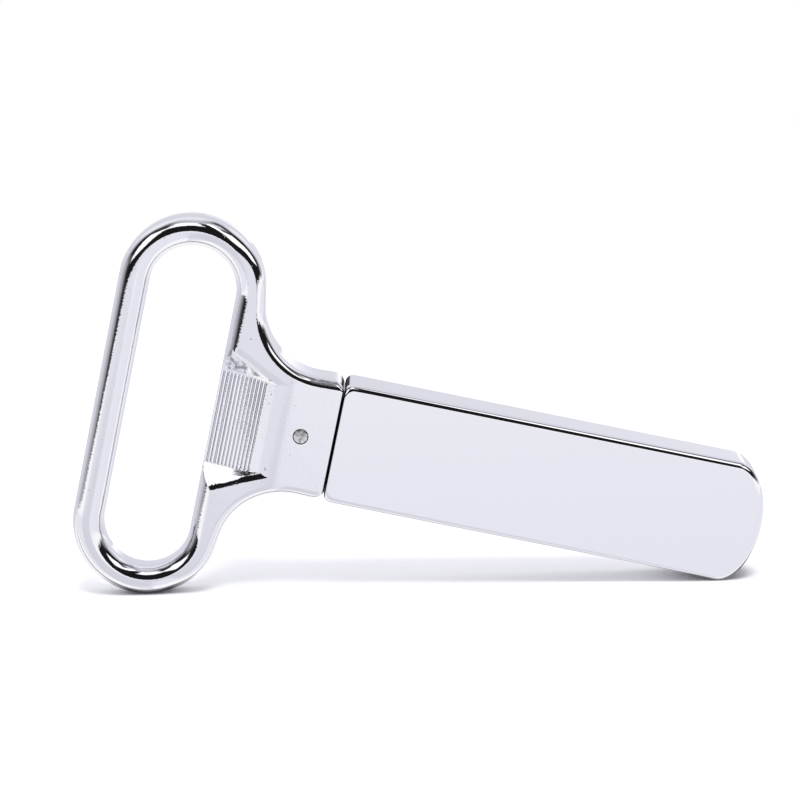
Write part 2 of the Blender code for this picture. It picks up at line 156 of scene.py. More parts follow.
def ramp_cut(u, w):
    """The height left over a thumb ramp: the ridged floor, each ridge an arch of a
    sine between two sharp grooves, or the flared side where that stands higher. The
    side's head is a straight flare with a slight bow, a parabola that stops at its
    ends. From there it falls inward by a shallow bevel, a steep step and a facet."""
    turns = (u - first_groove) / groove_pitch
    ridged = (turns > -0.5) & (turns < groove_count - 0.5)
    arch = np.where(ridged, np.abs(np.sin(np.pi * turns)) ** ridge_power, 1.0)
    floor = ramp_floor(u)
    plate = plate_height(u)
    bow = facet_bow * np.clip((u - bow_middle) / bow_reach, -1, 2) ** 2
    head = facet_head + facet_flare * (facet_end - u) + bow
    inward = head - np.abs(w)
    step = plate - bevel_fall * bevel_run - step_fall * (inward - bevel_run)
    foot = floor - groove_depth / 2 * (1 - ease((u - bow_middle) / bow_reach))
    fall = plate - bevel_fall * bevel_run - step_fall * step_run - foot
    run = np.maximum(head - bevel_run - step_run - facet_foot, 0.1)
    facet = foot + (np.abs(w) - facet_foot) * np.maximum(fall, 0) / run
    flare = np.where(inward < bevel_run, plate - bevel_fall * inward,
                     np.maximum(step, facet))
    return np.maximum(floor - groove_depth * (1 - arch), flare)


def soft_minimum(first, second, blend):
    """The lower of two heights, rounded by a parabola where they are within a blend
    of each other."""
    blend = np.maximum(blend, 1e-6)
    share = np.clip(0.5 + 0.5 * (second - first) / blend, 0, 1)
    return second * (1 - share) + first * share - blend * share * (1 - share)


def plan(u, w):
    """Points or ways in the tool's plan from their u and w, each an array or one
    number."""
    return np.stack(np.broadcast_arrays(u, w), -1)


def outline_rows():
    """The upper half's rows from the opening to the outline, from the neck's middle
    over the crown to the left bar's middle: the inner place and its way outward, the
    outer place and its way, and the neck's share of the spacing. Past the ramp the
    inner places crowd towards the ramp's side, by a power of the outline's length."""
    level = np.concatenate([np.linspace(0, plain_rows_end, 6),
                            np.linspace(foot_rows_start, facet_foot, 12)])
    rightward = plan(1.0, 0 * level)
    ramp = [plan(opening_right, level), rightward, plan(neck_reach, level), rightward]

    pocket_turn = math.asin((pocket_half_width - corner_w) / neck_corner)
    turn = np.concatenate([np.linspace(0, pocket_turn - 0.01, 5),
                           np.linspace(pocket_turn + 0.01, math.pi / 2 + neck_flare, 9)])
    corner_way = plan(np.cos(turn), np.sin(turn))
    corner = (corner_u, corner_w) + neck_corner * corner_way
    share = np.linspace(0, 1, 12)[1:-1, None]
    side = corner[-1] * (1 - share) + np.array([side_u, side_w]) * share
    side_way = np.repeat(corner_way[-1:], len(share), 0)
    turn = np.linspace(-math.pi / 2 + neck_flare, -math.pi + shoulder_flare, 34)
    sweep_way = -plan(np.cos(turn), np.sin(turn))
    sweep = (sweep_u, sweep_w) - sweep_radius * sweep_way
    outside = np.vstack([corner, side, sweep])
    steps = np.hypot(*np.diff(outside, axis=0).T)
    length = np.concatenate([[0], np.cumsum(steps)])
    length /= length[-1]
    even_share, crowding = 0.05, 2.6
    spread = even_share * length + (1 - even_share) * length ** crowding
    inner_w = fan_start + (arc_centre - fan_start) * spread
    fan = [plan(opening_right, inner_w), plan(1.0, 0 * inner_w),
           outside, np.vstack([corner_way, side_way, sweep_way])]

    turn = np.linspace(shoulder_flare, math.pi, 46)[1:]
    inner_turn = (turn - shoulder_flare) * math.pi / (math.pi - shoulder_flare)
    inner_way, outer_way = [plan(np.cos(part), np.sin(part)) for part in (inner_turn, turn)]
    crown = [(opening_shift, arc_centre) + opening_radius * inner_way, inner_way,
             (0, arc_centre) + ring_radius * outer_way, outer_way]

    level = np.linspace(arc_centre, 0, 9)[1:]
    leftward = plan(-1.0, 0 * level)
    bar = [plan(opening_left, level), leftward, plan(-ring_radius, level), leftward]

    neck = np.concatenate([np.ones(len(ramp[0])), 1 - ease(length) ** 1.5,
                           np.zeros(len(crown[0]) + len(bar[0]))])
    return [np.vstack(parts) for parts in zip(ramp, fan, crown, bar)] + [neck]


def face_edge(outer, way):
    """The line where the face meets the outer fillet: the outline moved in by the
    fillet, which eases from the ring's to the neck's. At the neck's end it keeps a
    corner's radius from a core line that runs back inside the neck's side."""
    rise = ease((outer[:, 0] - fillet_change_start) / fillet_change_run)
    fillet = ring_fillet + crown_swell * np.abs(way[:, 1])
    fillet = fillet + (neck_fillet - fillet) * rise
    back = -np.array([math.cos(neck_flare), math.sin(neck_flare)])
    side_way = np.array([-math.sin(neck_flare), math.cos(neck_flare)])
    core = (corner_u, corner_w) + side_way * (neck_corner - neck_fillet - face_corner)
    core = core + back * (neck_reach - end_edge - face_corner - core[0]) / back[0]
    reach = outer - core
    base = core + np.clip(reach @ back, 0, None)[:, None] * back
    base[:, 1] += np.minimum(reach[:, 1], 0)
    span = outer - base
    rounded = base + face_corner * span / np.hypot(*span.T)[:, None]
    at_end = outer[:, :1] > corner_u - 0.1
    return np.where(at_end, rounded, outer - way * fillet[:, None])


def section_steps():
    """Where the lines cross a section, in five stages from 0 to 5: inner wall, inner
    fillet, face, outer fillet, outer wall. The first spacing follows the ramp's ridges
    and the pocket, and the second spreads the same lines evenly round the ring."""
    step = groove_pitch / 8
    lip = np.array([0.0, 0.008, 0.02, 0.04, 0.07, 0.11, 0.16, 0.22])
    near = np.concatenate([lip, np.arange(0.3, opening_fillet, step)])
    face_length = neck_reach - end_edge - opening_radius - opening_shift - opening_fillet
    face = np.concatenate([np.arange(0, 6.1, step), np.linspace(6.2, 10.6, 24),
                           np.linspace(11.1, face_length, 17)])
    ramp = np.concatenate([
        np.linspace(0, 1, 6)[:-1],
        1 + np.arccos(1 - near / opening_fillet) / (math.pi / 2),
        2 + face / face_length,
        3 + np.linspace(0, 1, 19)[1:],
        4 + np.array([0.04, 0.08, 0.12, rim_share, side_share, 0.35, 0.6, floor_share,
                      0.81, 0.9, 1.0])])
    stage_lengths = np.array([1.5, 3.77, 0.2, 4.08, 1.3])
    marks = np.concatenate([[0], np.cumsum(stage_lengths)]) / stage_lengths.sum()
    ring = np.interp(np.linspace(0, 1, len(ramp)), marks, np.arange(6))
    return ramp, ring


def handle_grid():
    """The casting as one closed ring of sections: each runs from the opening's wall
    over the inner fillet, the face and the outer fillet to the outer wall, is lowered
    where the thumb ramp cuts it, and is mirrored behind the middle plane and below
    the axis. At the neck's end the outer wall is pushed in to form the pocket: its
    first share is the pocket's rim, the next its side, and the last its floor."""
    inner, way, outer, outer_way, neck = outline_rows()
    edge = face_edge(outer, outer_way)
    inner, way, outer, edge, neck = [part[:, None] for part in (inner, way, outer, edge, neck)]
    ramp, ring = section_steps()
    stage = neck * ramp + (1 - neck) * ring
    quarter = math.pi / 2
    inner_turn = np.clip(stage - 1, 0, 1) * quarter
    outer_turn = np.clip(stage - 3, 0, 1) * quarter
    face_share = np.clip(stage - 2, 0, 1)[..., None]
    inner_fillet = opening_fillet + opening_swell * way[..., 0]
    outer_fillet = np.hypot(*np.moveaxis(outer - edge, -1, 0))
    span = edge - (inner + way * inner_fillet[..., None])
    place = (inner + way * (inner_fillet * (1 - np.cos(inner_turn)))[..., None]
             + span * face_share + (outer - edge) * np.sin(outer_turn)[..., None])
    u, w = place[..., 0], place[..., 1]
    height = (plate_height(u) - inner_fillet * (1 - np.sin(inner_turn))
              - outer_fillet * (1 - np.cos(outer_turn)))
    rounding = facet_round * ease((np.abs(w) - round_start) / round_run)
    cut = np.where((u > 0) & (u < ramp_start + 0.5), ramp_cut(u, w), no_cut)
    height = soft_minimum(height, cut, rounding)
    wall = np.clip(stage - 4, 0, 1)
    y = height * np.clip(stage, 0, 1) * (1 - wall)
    at_end = outer[..., 0] > neck_reach - end_edge
    holds = at_end & (np.abs(outer[..., 1]) < pocket_half_width)
    rim = (height - pocket_half_depth) * (1 - wall / rim_share) + pocket_half_depth
    depth = np.clip((wall - side_share) / (floor_share - side_share), 0, 1)
    floor = pocket_half_depth * np.clip((1 - wall) / (1 - floor_share), 0, 1)
    pocket_y = np.where(wall <= rim_share, rim,
                        np.where(wall <= floor_share, pocket_half_depth, floor))
    y = np.where(holds & (wall > 0), pocket_y, y)
    u = np.where(holds & (wall > rim_share), u + (pocket_floor - u) * depth, u)
    front = np.stack([u, -y, w], -1)
    back = np.stack([u, y, w], -1)[:, -2:0:-1]
    upper = np.concatenate([front, back], axis=1)
    lower = (upper * np.array([1, 1, -1]))[-2:0:-1]
    u, y, w = np.moveaxis(np.concatenate([upper, lower]), -1, 0)
    return set_in_tool(u, y, w + width_shift * ease((u - shift_start) / shift_run))


class Wire:
    """A value in a material's tree. Arithmetic on it adds Math nodes."""

    def __init__(self, tree, socket=None):
        self.tree = tree
        self.socket = socket

    def node(self, kind, values=None, output=0, stops=None, **settings):
        """A node of a kind, with its settings and a ramp's stops, then its sockets."""
        made = self.tree.nodes.new(kind)
        for name, value in settings.items():
            setattr(made, name, value)
        if stops:
            elements = made.color_ramp.elements
            elements.remove(elements[1])
            elements[0].position, elements[0].color = stops[0]
            for place, colour in stops[1:]:
                elements.new(place).color = colour
        for name, value in (values or {}).items():
            socket = made.inputs[name]
            if isinstance(value, Wire):
                self.tree.links.new(value.socket, socket)
            else:
                socket.default_value = value
        return Wire(self.tree, made.outputs[output])

    def math(self, operation, *others):
        """This value and up to two others through one Math node."""
        values = dict(enumerate((self, *others)))
        return self.node("ShaderNodeMath", values, operation=operation)

    def __add__(self, other):
        return self.math("ADD", other)

    def __radd__(self, other):
        return self.math("ADD", other)

    def __sub__(self, other):
        return self.math("SUBTRACT", other)

    def __rsub__(self, other):
        return (self * -1).math("ADD", other)

    def __mul__(self, other):
        return self.math("MULTIPLY", other)

    def __rmul__(self, other):
        return self.math("MULTIPLY", other)

    def __truediv__(self, other):
        return self.math("DIVIDE", other)

    def between(self, low, high):
        """0 below low, 1 above high, and straight in between."""
        values = {"Value": self, "From Min": low, "From Max": high}
        return self.node("ShaderNodeMapRange", values)

    def past(self, place, edge):
        """0 before a place, 1 beyond it, and straight over an edge to each side."""
        return self.between(place - edge, place + edge)

    def within(self, low, high, edge):
        """1 between low and high, 0 outside, and straight over an edge to each side."""
        return self.past(low, edge) * (1 - self.past(high, edge))

    def mix(self, first, second):
        """A colour this share of the way from the first to the second."""
        values = {0: self, 6: first, 7: second}
        return self.node("ShaderNodeMix", values, output=2, data_type="RGBA")

    def noise(self, place, scale, detail=2.0, roughness=0.5):
        """Smooth noise at a place, as a value from 0 to 1."""
        values = {"Vector": place, "Scale": scale, "Detail": detail,
                  "Roughness": roughness}
        return self.node("ShaderNodeTexNoise", values)

    def parts(self):
        """The three coordinates of a place or a direction."""
        split = self.node("ShaderNodeSeparateXYZ", {0: self}).socket.node
        return [Wire(self.tree, socket) for socket in split.outputs]


def new_metal(name, colour, roughness):
    """A metal's material, its shader's first values set, with a wire for its maths and
    the place on the piece that its patterns read."""
    material = bpy.data.materials.new(name)
    material.use_nodes = True
    tree = material.node_tree
    shader = tree.nodes["Principled BSDF"]
    shader.inputs["Base Color"].default_value = colour
    shader.inputs["Metallic"].default_value = 1.0
    shader.inputs["Roughness"].default_value = roughness
    wire = Wire(tree)
    return material, shader, wire, wire.node("ShaderNodeTexCoord", output=3)


def tool_place(spot):
    """A place's millimetres along the tool, across it and from its middle plane,
    measured from the ring's centre."""
    x, y, z = [(part - float(middle)) * 1000
               for part, middle in zip(spot.parts(), ring_centre)]
    return (x * float(along[0]) + z * float(along[2]),
            x * float(across[0]) + z * float(across[2]), y.math("ABSOLUTE"))


def feed(shader, name, wire):
    """Joins a wire to one of a shader's sockets."""
    shader.id_data.links.new(wire.socket, shader.inputs[name])


def feed_bump(shader, height):
    """Bumps a shader's surface by a height in millimetres."""
    bump = {"Height": height, "Distance": 0.001, "Strength": 1.0}
    feed(shader, "Normal", height.node("ShaderNodeBump", bump))


def drill(piece, radius, place):
    """Takes a round hole through the tool's thickness out of a piece: a drum of two
    circles of places, subtracted, and the result kept as the piece's mesh."""
    drum_half_length = 9.0
    turn = np.linspace(0, 2 * math.pi, 72, endpoint=False)
    ends = np.array([-1.0, 1.0])[:, None] * drum_half_length
    drum = set_in_tool(place + radius * np.cos(turn) + 0 * ends, ends + 0 * turn,
                       radius * np.sin(turn) + 0 * ends)
    count = len(turn)
    here = np.arange(count)
    after = np.roll(here, -1)
    sides = np.stack([here, here + count, after + count, after], 1).tolist()
    mesh = bpy.data.meshes.new("drill")
    mesh.from_pydata(drum.reshape(-1, 3).tolist(), [],
                     sides + [here.tolist(), (here + count)[::-1].tolist()])
    cutter = bpy.data.objects.new("drill", mesh)
    bpy.context.scene.collection.objects.link(cutter)
    modifier = piece.modifiers.new("drill", "BOOLEAN")
    modifier.operation = "DIFFERENCE"
    modifier.solver = "EXACT"
    modifier.object = cutter
    bpy.context.view_layer.update()
    drilled = bpy.data.meshes.new_from_object(
        piece.evaluated_get(bpy.context.evaluated_depsgraph_get()))
    piece.modifiers.clear()
    piece.data = drilled
    bpy.data.objects.remove(cutter, do_unlink=True)


# The upper facet is darker, mottled and rougher: painted shade. The grooves are darker,
# partly dirt and partly painted shade, and the ridges' crests lighter, a painted highlight.
# The fillets are worn near the neck's end. The neck's end face, the pocket and the corners
# by the sheath are painted near black: painted shade in the fit of neck, prongs and
# sheath, where no light comes in.
chrome_colour, wear_and_shade_colour = (0.84, 0.84, 0.86, 1), (0.3, 0.3, 0.32, 1)
crest_highlight_colour, painted_shade_colour = (0.98, 0.98, 1.0, 1), (0.012, 0.012, 0.014, 1)
facet_shade_start, facet_shade_end, facet_shade_side, facet_shade_depth = 8.6, 17.4, 8.8, 1.45
worn_start, worn_end, worn_side, worn_low, worn_high = 24.4, 29.4, 9.5, 5.15, 5.93
ridged_start, ridged_end, ridged_half_width = 8.2, 16.3, 8.5
end_shade, pocket_shade, pocket_shade_side, pocket_shade_depth = 29.83, 20.05, 9.85, 4.75
corner_shade, corner_shade_side, corner_shade_depth = 29.4, 10.0, 4.7

cast_chrome, shader, wire, spot = new_metal("cast_chrome", chrome_colour, 0.05)
u, w, depth = tool_place(spot)
off_axis = w.math("ABSOLUTE")
grain = wire.noise(spot, 2400.0, 2.0)
mottle = wire.noise(spot, 1100.0, 3.0, 0.6)
pits = wire.noise(spot, 1500.0, 3.0).between(0.71, 0.78)
# Painted shade: the upper facet alone goes darker and rougher in mottled patches.
inward = facet_head + facet_flare * facet_end - u * facet_flare - w
painted_facet_shade = (u.within(facet_shade_start, facet_shade_end, 0.3) * w.past(facet_shade_side, 0.2)
              * inward.past(facet_shade_depth, 0.15) * mottle.past(0.5, 0.1))
worn_fillet = ((u + mottle * 1.5).within(worn_start, worn_end, 0.3)
               * w.past(worn_side, 0.1) * mottle.past(0.4, 0.2)
               * (depth + mottle * 0.3).within(worn_low, worn_high, 0.04))
# The grooves between the ridges go darker, partly dirt and partly painted shade.
ridge = ((u - first_groove) / groove_pitch).math("PINGPONG", 0.5)
ridged = (u.within(ridged_start, ridged_end, 0.1)
          * (1 - off_axis.past(ridged_half_width, 0.1)))
groove_dirt_and_shade = (1 - ridge.between(0.0, 0.14)) * ridged
crest_highlight = ridge.between(0.16, 0.3) * ridged
# Painted shade: the neck's end face, the pocket and the corners by the sheath go near black and
# rough, as the fit keeps the light out.
pocket_painted_shade = (u.past(pocket_shade, 0.05) * (1 - depth.past(pocket_shade_depth, 0.05))
             * (1 - off_axis.past(pocket_shade_side, 0.05)))
corner_painted_shade = (u.past(corner_shade, 0.1) * off_axis.past(corner_shade_side, 0.1)
             * (1 - depth.past(corner_shade_depth, 0.2)))
painted_shade = u.past(end_shade, 0.05).math("MAXIMUM", pocket_painted_shade).math("MAXIMUM", corner_painted_shade)
# Wear, pits and painted shade mix into one darker, rougher colour.
wear_and_shade = painted_facet_shade.math("MAXIMUM", worn_fillet).math("MAXIMUM", pits * 0.5)
wear_and_shade = wear_and_shade.math("MAXIMUM", groove_dirt_and_shade)
# A painted highlight lightens the ridges' crests.
chrome_and_highlight = crest_highlight.mix(chrome_colour, crest_highlight_colour)
feed(shader, "Base Color", painted_shade.mix(wear_and_shade.mix(chrome_and_highlight, wear_and_shade_colour), painted_shade_colour))
feed(shader, "Roughness", 0.04 + wear_and_shade * 0.25 + mottle.between(0.5, 0.8) * 0.03 + painted_shade * 0.6)
feed_bump(shader, wire.noise(spot, 130.0, 1.0) * 0.03 + grain * 0.006 - pits * 0.01)

handle = skin("handle_casting", handle_grid(), cast_chrome)
drill(handle, pin_hole_radius, pin_place)
handle.data.set_sharp_from_angle(angle=math.radians(13))
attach(handle, "handle")
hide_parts("handle")


# Sheath
# A drawn shell with flat broad faces, open at the neck's end and closed by a shallow
# rounded tip, mirror polished and chrome plated. The prongs' outward spring holds it.

sheath_mouth, sheath_tip_centre, sheath_tip_rise = 30.2, 101.65, 6.27
sheath_half_width, sheath_half_thickness = 10.915, 6.1
sheath_fillet, sheath_corner, sheath_face_corner, mouth_edge = 1.1, 1.4, 1.7, 0.3
wide_share, tight_share, turn_change = 1.1, 0.79, math.radians(43)
hollow_half_width, hollow_half_thickness, sheath_wall = 9.8, 4.9, 1.2
hollow_end = sheath_tip_centre + sheath_tip_rise - sheath_wall
mouth_rows_end, face_corner_end = 32.0, 40.0
mouth_rim_share, hollow_side_share = 0.11, 0.88


def sheath_grid():
    """The shell as rows round its outline, from the mouth's middle over the upper side
    to the tip's middle and back below. Each runs from the face's middle line over the
    fillet to the side wall, whose middle is pushed in at the mouth to form the hollow,
    and is mirrored behind the middle plane. The fillet's arc is wider than a circle's
    where it leaves the face, and tighter where it meets the side."""
    flat = sheath_half_width - sheath_corner
    level = np.concatenate([np.linspace(0, 8.0, 8), np.linspace(8.2, flat, 8)])
    mouth, mouth_way = plan(sheath_mouth, level), plan(-1.0, 0 * level)
    hollow_turn = math.asin((hollow_half_width - flat) / sheath_corner)
    turn = np.concatenate([[hollow_turn - 0.003, hollow_turn + 0.003],
                           np.linspace(hollow_turn + 0.1, math.pi / 2, 12)])
    corner_way = plan(-np.cos(turn), np.sin(turn))
    corner = (sheath_mouth + sheath_corner, flat) + sheath_corner * corner_way
    place = np.linspace(sheath_mouth + sheath_corner, sheath_tip_centre, 42)[1:-1]
    edge_line, edge_way = plan(place, sheath_half_width), plan(0 * place, 1.0)
    turn = np.linspace(math.pi / 2, 0, 44)
    tip = plan(sheath_tip_centre + sheath_tip_rise * np.cos(turn),
               sheath_half_width * np.sin(turn))
    tip_way = plan(sheath_half_width * np.cos(turn), sheath_tip_rise * np.sin(turn))
    tip_way /= np.hypot(*tip_way.T)[:, None]
    outer = np.vstack([mouth, corner, edge_line, tip])
    normal = np.vstack([mouth_way, corner_way, edge_way, tip_way])
    middle = np.concatenate([
        np.linspace(sheath_mouth + 2.0, sheath_mouth + 4.0, len(mouth)),
        np.linspace(sheath_mouth + 4.1, sheath_mouth + 5.6, len(corner)),
        np.linspace(sheath_mouth + 6.0, sheath_tip_centre - 0.6, len(edge_line)),
        np.linspace(sheath_tip_centre, sheath_tip_centre + 3.0, len(tip))])
    middle = plan(middle, 0.0)
    core = np.array([sheath_mouth + mouth_edge + sheath_face_corner,
                     sheath_half_width - sheath_fillet - sheath_face_corner])
    base = plan(np.maximum(outer[:, 0], core[0]), np.minimum(outer[:, 1], core[1]))
    span = outer - base
    length = np.maximum(np.hypot(*span.T), 0.001)[:, None]
    rounded = base + sheath_face_corner * span / length
    edge = np.where(outer[:, :1] < face_corner_end, rounded, outer - normal * sheath_fillet)
    outer, edge, middle = [part[:, None] for part in (outer, edge, middle)]
    fillet = np.hypot(*np.moveaxis(outer - edge, -1, 0))
    stage = np.concatenate([
        np.array([0, 0.25, 0.5, 0.75, 0.9, 0.96, 0.985, 0.995]),
        1 + np.linspace(0, 1, 25),
        2 + np.array([0.02, 0.06, mouth_rim_share, 0.2, 0.3, 0.45, 0.6, 0.75,
                      hollow_side_share, 0.9, 0.94, 0.97, 1.0])])
    turn = np.clip(stage - 1, 0, 1) * math.pi / 2
    first = np.minimum(turn, turn_change)
    reach = wide_share * np.sin(first) + tight_share * (np.sin(turn) - np.sin(first))
    drop = wide_share * (1 - np.cos(first)) + tight_share * (np.cos(first) - np.cos(turn))
    place = (middle + (edge - middle) * np.clip(stage, 0, 1)[:, None]
             + (outer - edge) * reach[:, None])
    u, w = place[..., 0], place[..., 1]
    height = sheath_half_thickness - fillet * drop
    side = np.clip(stage - 2, 0, 1)
    holds = (outer[..., 0] < mouth_rows_end) & (np.abs(outer[..., 1]) < hollow_half_width)
    curve = np.clip(1 - (w / hollow_half_width) ** 2, 0, 1)
    end = sheath_tip_centre + (hollow_end - sheath_tip_centre) * np.sqrt(curve)
    rim = height + (hollow_half_thickness - height) * np.clip(side / mouth_rim_share, 0, 1)
    depth = np.clip((side - mouth_rim_share) / (hollow_side_share - mouth_rim_share), 0, 1)
    tip_y = hollow_half_thickness * np.clip((1 - side) / (1 - hollow_side_share), 0, 1)
    hollow_y = np.where(side <= mouth_rim_share, rim,
                        np.where(side <= hollow_side_share, hollow_half_thickness, tip_y))
    y = np.where(holds & (side > 0), hollow_y, height * (1 - side))
    u = np.where(holds & (side > mouth_rim_share), u + (end - u) * depth, u)
    front = np.stack([u, -y, w], -1)
    back = np.stack([u, y, w], -1)[:, -2::-1]
    upper = np.concatenate([front, back], axis=1)
    lower = (upper * np.array([1, 1, -1]))[-2:0:-1]
    u, y, w = np.moveaxis(np.concatenate([upper, lower]), -1, 0)
    return set_in_tool(u, y, w + width_shift)


def weld(piece):
    """Joins the places that two rows share, and turns every face outward."""
    mesh = bmesh.new()
    mesh.from_mesh(piece.data)
    bmesh.ops.remove_doubles(mesh, verts=mesh.verts, dist=1e-8)
    bmesh.ops.recalc_face_normals(mesh, faces=mesh.faces)
    mesh.to_mesh(piece.data)
    mesh.free()
    piece.data.shade_smooth()


# Painted shade: the sheath's mouth rim, its hollow and the mouth's corners go near black and
# rough, as the fit over the neck keeps the light out.
mouth_shade, hollow_margin, tip_margin = 0.2, 0.06, 0.03
mouth_corner_reach, mouth_corner_side = 0.6, 10.0

sheath_chrome, shader, wire, spot = new_metal("sheath_chrome", chrome_colour, 0.03)
u, w, depth = tool_place(spot)
off_middle = (w - width_shift).math("ABSOLUTE")
hollow_painted_shade = ((1 - depth.past(hollow_half_thickness + hollow_margin, 0.04))
             * (1 - off_middle.past(hollow_half_width + hollow_margin, 0.04))
             * (1 - u.past(hollow_end + tip_margin, 0.05)))
corner_painted_shade = ((1 - u.past(sheath_mouth + mouth_corner_reach, 0.1))
             * w.math("ABSOLUTE").past(mouth_corner_side, 0.1)
             * (1 - depth.past(hollow_half_thickness, 0.2)))
painted_shade = 1 - u.past(sheath_mouth + mouth_shade, 0.04)
painted_shade = painted_shade.math("MAXIMUM", hollow_painted_shade).math("MAXIMUM", corner_painted_shade)
feed(shader, "Base Color", painted_shade.mix(chrome_colour, painted_shade_colour))
feed(shader, "Roughness",
     0.03 + wire.noise(spot, 300.0).between(0.55, 0.8) * 0.03 + painted_shade * 0.6)
feed_bump(shader, wire.noise(spot, 60.0, 1.0) * 0.02 + wire.noise(spot, 2400.0, 2.0) * 0.002)

sheath = skin("sheath_shell", sheath_grid(), sheath_chrome, close_lines=False)
weld(sheath)
sheath.data.set_sharp_from_angle(angle=math.radians(32))
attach(sheath, "sheath")
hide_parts("sheath")


# Neck pin
# A plain pin of bare, unplated steel, driven through the neck and through both prongs'
# rolled eyes. Its two ends are dressed flush with the neck's faces.

pin_radius, pin_edge, pin_crown, pin_sink = 1.3, 0.16, 0.03, 0.005


def pin_grid():
    """The pin's profile turned about its middle: a crowned end, a rounded edge, the
    side, and the same again behind."""
    share = np.linspace(0, 1, 9)
    flat = pin_radius - pin_edge
    end = neck_half_thickness - pin_sink
    top = np.stack([flat * share, end - pin_crown * share ** 2], 1)
    turn = np.linspace(0, math.pi / 2, 6)[1:]
    rim = np.stack([flat + pin_edge * np.sin(turn),
                    end - pin_crown - pin_edge * (1 - np.cos(turn))], 1)
    half = np.vstack([top, rim])
    profile = np.vstack([half * (1, -1), half[::-1]])
    turn = np.linspace(0, 2 * math.pi, 64, endpoint=False)[:, None]
    radius, y = profile.T
    return set_in_tool(pin_place + radius * np.cos(turn), y + 0 * turn,
                       radius * np.sin(turn))


pin_steel, shader, wire, spot = new_metal("pin_steel", (0.55, 0.55, 0.54, 1), 0.26)
stained_colour, bright_colour = (0.24, 0.24, 0.23, 1), (0.8, 0.8, 0.79, 1)
mottle = wire.noise(spot, 1800.0, 4.0).between(0.38, 0.62)
feed(shader, "Base Color", mottle.mix(stained_colour, bright_colour))

pin = skin("pin_head_and_shank", pin_grid(), pin_steel, close_lines=False)
weld(pin)
pin.data.set_sharp_from_angle(angle=math.radians(40))
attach(pin, "handle")
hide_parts("neck_pin")


# Prongs
# Two strips of ground spring steel, rolled round the pin at their roots. The CAD's own
# shapes stay, with the grinding's lengthwise streaks added.

streaks_along, streaks_across = 0.04, 2.5
streak_dark, streak_pale = (0.52, 0.52, 0.53, 1), (0.7, 0.7, 0.71, 1)

spring_steel, shader, wire, spot = new_metal("spring_steel", (0.62, 0.62, 0.63, 1), 0.26)
u, w, depth = tool_place(spot)
lengthwise = wire.node("ShaderNodeCombineXYZ", {0: u * streaks_along, 1: w * streaks_across,
                                                2: depth * streaks_across})
streak = wire.noise(lengthwise, 1.0, 3.0, 0.6)
feed(shader, "Base Color", streak.between(0.3, 0.7).mix(streak_dark, streak_pale))
feed(shader, "Roughness", 0.2 + streak * 0.2)
feed_bump(shader, streak * 0.01)
for node in ("long_prong", "short_prong"):
    for place in frame["nodes"][node].material_slots:
        place.material = spring_steel


# Floor, light and camera
# A pale sheet takes the shadow, and a low lamp casts it. The chrome mirrors a studio
# that the world draws by direction: a pale ground, a dark room in front with four soft
# boxes, a ceiling that fades into it, pale walls, and a dark seam where they meet.

sheet_radius, sheet_colour = 0.45, (0.985, 0.985, 1.0, 1)
contact_shadow_colour, contact_shadow_glow = (0.9, 0.93, 1.0, 1), 0.06
ring_contact, tip_contact = -48.7, 54.0

turn = np.linspace(0, 2 * math.pi, 96, endpoint=False)
rim = np.stack([np.cos(turn), np.sin(turn), 0 * turn], -1) * sheet_radius
sheet = bpy.data.meshes.new("floor_sheet")
sheet.from_pydata(rim.tolist(), [], [list(range(len(rim)))])
floor_material = bpy.data.materials.new("floor_sheet")
floor_material.use_nodes = True
tree = floor_material.node_tree
tree.nodes.remove(tree.nodes["Principled BSDF"])
wire = Wire(tree)
glossy_ray = wire.node("ShaderNodeLightPath", output="Is Glossy Ray")
east, north = [part * 1000 for part in wire.node("ShaderNodeTexCoord", output=3).parts()[:2]]
off_line = north.math("ABSOLUTE")
ring_contact_shadow = ((1 - (east - ring_contact).math("ABSOLUTE").between(4.0, 11.0))
              * (1 - off_line.between(2.6, 3.5)))
tip_contact_shadow = ((1 - (east - tip_contact).math("ABSOLUTE").between(5.0, 14.0))
             * (1 - off_line.between(4.9, 5.9)))

# The chrome sees through the sheet to the studio's ground, but for two dim patches where
# the ring and the tip touch it: a painted contact shadow in the mirror, fixed to the sheet.
matt = wire.node("ShaderNodeBsdfDiffuse", {"Color": sheet_colour})
dark = wire.node("ShaderNodeEmission", {"Color": contact_shadow_colour, "Strength": contact_shadow_glow})
clear = wire.node("ShaderNodeBsdfTransparent")
below = wire.node("ShaderNodeMixShader", {0: ring_contact_shadow + tip_contact_shadow, 1: clear, 2: dark})
whole = wire.node("ShaderNodeMixShader", {0: glossy_ray, 1: matt, 2: below})
tree.links.new(whole.socket, tree.nodes["Material Output"].inputs["Surface"])
sheet.materials.append(floor_material)
floor = bpy.data.objects.new("floor_sheet", sheet)
bpy.context.scene.collection.objects.link(floor)

world = bpy.data.worlds.new("studio")
bpy.context.scene.world = world
world.use_nodes = True
tree = world.node_tree
wire = Wire(tree)
degrees = 180 / math.pi

# Swing is the angle from the front up over the tool, lift the angle above the horizon,
# and bearing the angle from the front round to the left.
east, north, up = wire.node("ShaderNodeTexCoord").parts()
front, away = north * -1, east.math("ABSOLUTE")
swing = up.math("ARCTAN2", front) * degrees
lift = up.math("ARCSINE") * degrees
bearing = (east * -1).math("ARCTAN2", front) * degrees


def tones(wire, stops):
    """A value that runs straight between stops, each a place and its level."""
    low, high = stops[0][0], stops[-1][0]
    scaled = wire.between(low, high)
    ramp = [((place - low) / (high - low), (level / 2, level / 2, level / 2, 1))
            for place, level in stops]
    return scaled.node("ShaderNodeValToRGB", {"Fac": scaled}, stops=ramp) * 2.0


